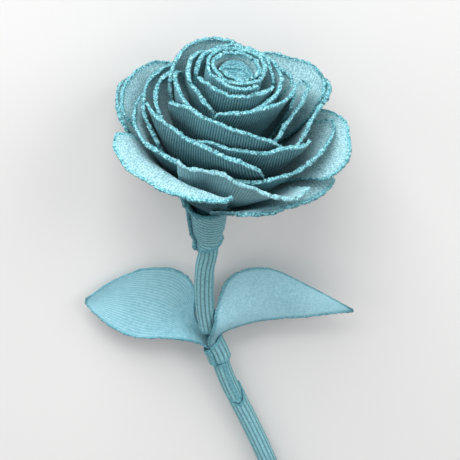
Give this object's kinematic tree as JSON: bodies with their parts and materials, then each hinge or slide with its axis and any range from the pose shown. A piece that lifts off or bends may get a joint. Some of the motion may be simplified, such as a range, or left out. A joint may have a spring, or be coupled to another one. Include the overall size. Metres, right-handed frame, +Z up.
{
  "type": "crepe paper rose",
  "caption": "Single handmade crepe paper rose with a rolled bud, overlapping cut petals, a wrapped bent stem and a pair of leaves, lying on its back.",
  "frame": {"origin": "centre of the bounding box's base, on the table that the rose lies on", "axes": "+Y along the rose's length, from the stem's end to the head; +Z up, away from the table; the pictured front faces up"},
  "size_m": [0.111, 0.2578, 0.0739],
  "materials": {
    "petal_paper": "matt, ribbed",
    "leaf_paper": "matt, ribbed",
    "stem_paper": "matt, ribbed",
    "core_paper": "matt",
    "rod_wood": "matt, dyed"
  },
  "bodies": {
    "root": {"flower_core": "core_paper", "bud_roll": "petal_paper", "petal_01": "petal_paper", "petal_02": "petal_paper", "petal_03": "petal_paper", "petal_04": "petal_paper", "petal_05": "petal_paper", "petal_06": "petal_paper", "petal_07": "petal_paper", "petal_08": "petal_paper", "petal_09": "petal_paper", "petal_10": "petal_paper", "petal_11": "petal_paper", "petal_12": "petal_paper", "petal_13": "petal_paper", "petal_14": "petal_paper", "petal_15": "petal_paper", "petal_16": "petal_paper", "petal_17": "petal_paper", "petal_18": "petal_paper", "petal_19": "petal_paper", "petal_20": "petal_paper", "petal_21": "petal_paper", "petal_22": "petal_paper", "petal_23": "petal_paper", "petal_24": "petal_paper", "petal_25": "petal_paper", "petal_26": "petal_paper", "calyx_sleeve": "stem_paper", "stem_rod": "rod_wood", "stem_wrap_upper": "stem_paper", "stem_wrap_middle": "stem_paper", "stem_wrap_lower": "stem_paper", "node_wrap": "stem_paper", "leaf_left": "leaf_paper", "leaf_right": "leaf_paper"}
  },
  "joints": []
}
